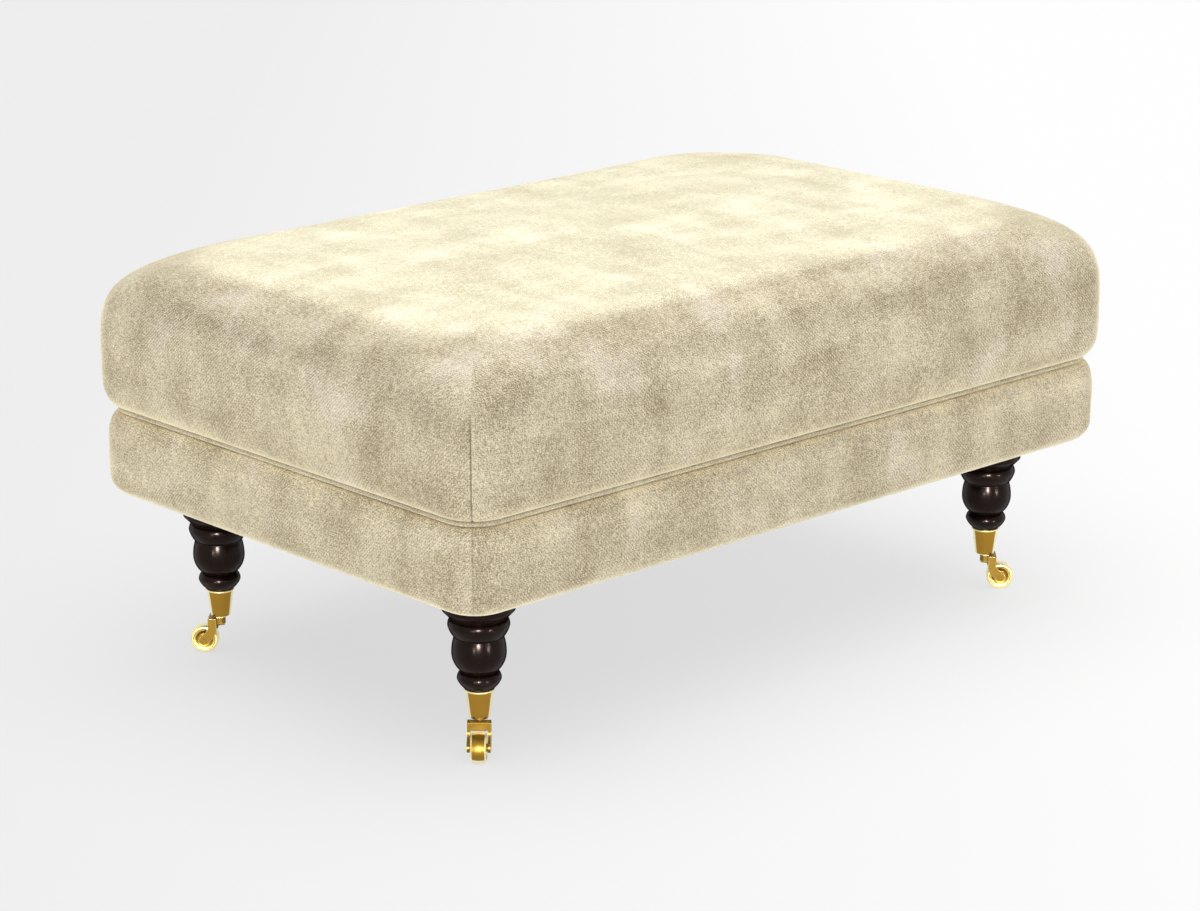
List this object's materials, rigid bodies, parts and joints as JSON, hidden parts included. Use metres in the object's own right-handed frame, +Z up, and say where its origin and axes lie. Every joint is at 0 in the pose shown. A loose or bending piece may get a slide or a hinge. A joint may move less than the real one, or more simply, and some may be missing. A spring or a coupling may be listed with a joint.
{
  "type": "upholstered footstool",
  "caption": "Rectangular upholstered footstool: padded seat with rolled edges, piping and border, on turned wooden legs with swivelling brass castors.",
  "frame": {"origin": "on the floor under the middle of the stool", "axes": "+X along the long side, +Y across it to the back, +Z up"},
  "size_m": [1, 0.65, 0.4678],
  "materials": {
    "cover_cloth": "brushed twill with a soft pile",
    "wadding": "soft polyester wrap",
    "foam": "open-cell upholstery foam",
    "platform_cloth": "plain woven lining",
    "webbing": "woven elasticated webbing",
    "card": "stiff card",
    "bottoming_cloth": "thin spun-bonded dust cover",
    "frame_timber": "sawn hardwood, unfinished",
    "dark_lacquer": "turned hardwood, dark stain under glossy lacquer",
    "brass": "polished",
    "zinc_steel": "zinc plated"
  },
  "bodies": {
    "stool": {"seat_cover": "cover_cloth", "seat_wadding": "wadding", "seat_foam": "foam", "platform_cloth": "platform_cloth", "webbing_long": "webbing", "webbing_cross": "webbing", "seat_piping": "cover_cloth", "border_cover": "cover_cloth", "border_padding": "wadding", "tack_strip": "card", "bottoming_cloth": "bottoming_cloth", "front_rail": "frame_timber", "back_rail": "frame_timber", "left_rail": "frame_timber", "right_rail": "frame_timber", "cross_rail_left": "frame_timber", "cross_rail_right": "frame_timber", "frame_screws": "zinc_steel", "block_screws": "zinc_steel", "hanger_bolts": "zinc_steel", "t_nuts": "zinc_steel", "cup_screws": "brass", "swivel_pins": "brass", "thrust_washers": "brass", "corner_block_front_left": "frame_timber", "leg_front_left": "dark_lacquer", "castor_cup_front_left": "brass", "corner_block_front_right": "frame_timber", "leg_front_right": "dark_lacquer", "castor_cup_front_right": "brass", "corner_block_back_left": "frame_timber", "leg_back_left": "dark_lacquer", "castor_cup_back_left": "brass", "corner_block_back_right": "frame_timber", "leg_back_right": "dark_lacquer", "castor_cup_back_right": "brass"},
    "horn_front_left": {"castor_horn_front_left": "brass", "axle_front_left": "brass"},
    "roller_front_left": {"wheel_front_left": "brass"},
    "horn_front_right": {"castor_horn_front_right": "brass", "axle_front_right": "brass"},
    "roller_front_right": {"wheel_front_right": "brass"},
    "horn_back_left": {"castor_horn_back_left": "brass", "axle_back_left": "brass"},
    "roller_back_left": {"wheel_back_left": "brass"},
    "horn_back_right": {"castor_horn_back_right": "brass", "axle_back_right": "brass"},
    "roller_back_right": {"wheel_back_right": "brass"}
  },
  "joints": [
    {"name": "swivel_front_left", "type": "hinge", "parent": "stool", "child": "horn_front_left", "pos_m": [-0.399, -0.221, 0.0415], "axis": [0, 0, 1], "continuous": true},
    {"name": "roll_front_left", "type": "hinge", "parent": "horn_front_left", "child": "roller_front_left", "pos_m": [-0.41215, -0.23415, 0.016], "axis": [0.7071, -0.7071, 0], "continuous": true},
    {"name": "swivel_front_right", "type": "hinge", "parent": "stool", "child": "horn_front_right", "pos_m": [0.399, -0.221, 0.0415], "axis": [0, 0, 1], "continuous": true},
    {"name": "roll_front_right", "type": "hinge", "parent": "horn_front_right", "child": "roller_front_right", "pos_m": [0.41215, -0.23415, 0.016], "axis": [0.7071, 0.7071, 0], "continuous": true},
    {"name": "swivel_back_left", "type": "hinge", "parent": "stool", "child": "horn_back_left", "pos_m": [-0.399, 0.221, 0.0415], "axis": [0, 0, 1], "continuous": true},
    {"name": "roll_back_left", "type": "hinge", "parent": "horn_back_left", "child": "roller_back_left", "pos_m": [-0.41215, 0.23415, 0.016], "axis": [-0.7071, -0.7071, 0], "continuous": true},
    {"name": "swivel_back_right", "type": "hinge", "parent": "stool", "child": "horn_back_right", "pos_m": [0.399, 0.221, 0.0415], "axis": [0, 0, 1], "continuous": true},
    {"name": "roll_back_right", "type": "hinge", "parent": "horn_back_right", "child": "roller_back_right", "pos_m": [0.41215, 0.23415, 0.016], "axis": [-0.7071, 0.7071, 0], "continuous": true}
  ]
}
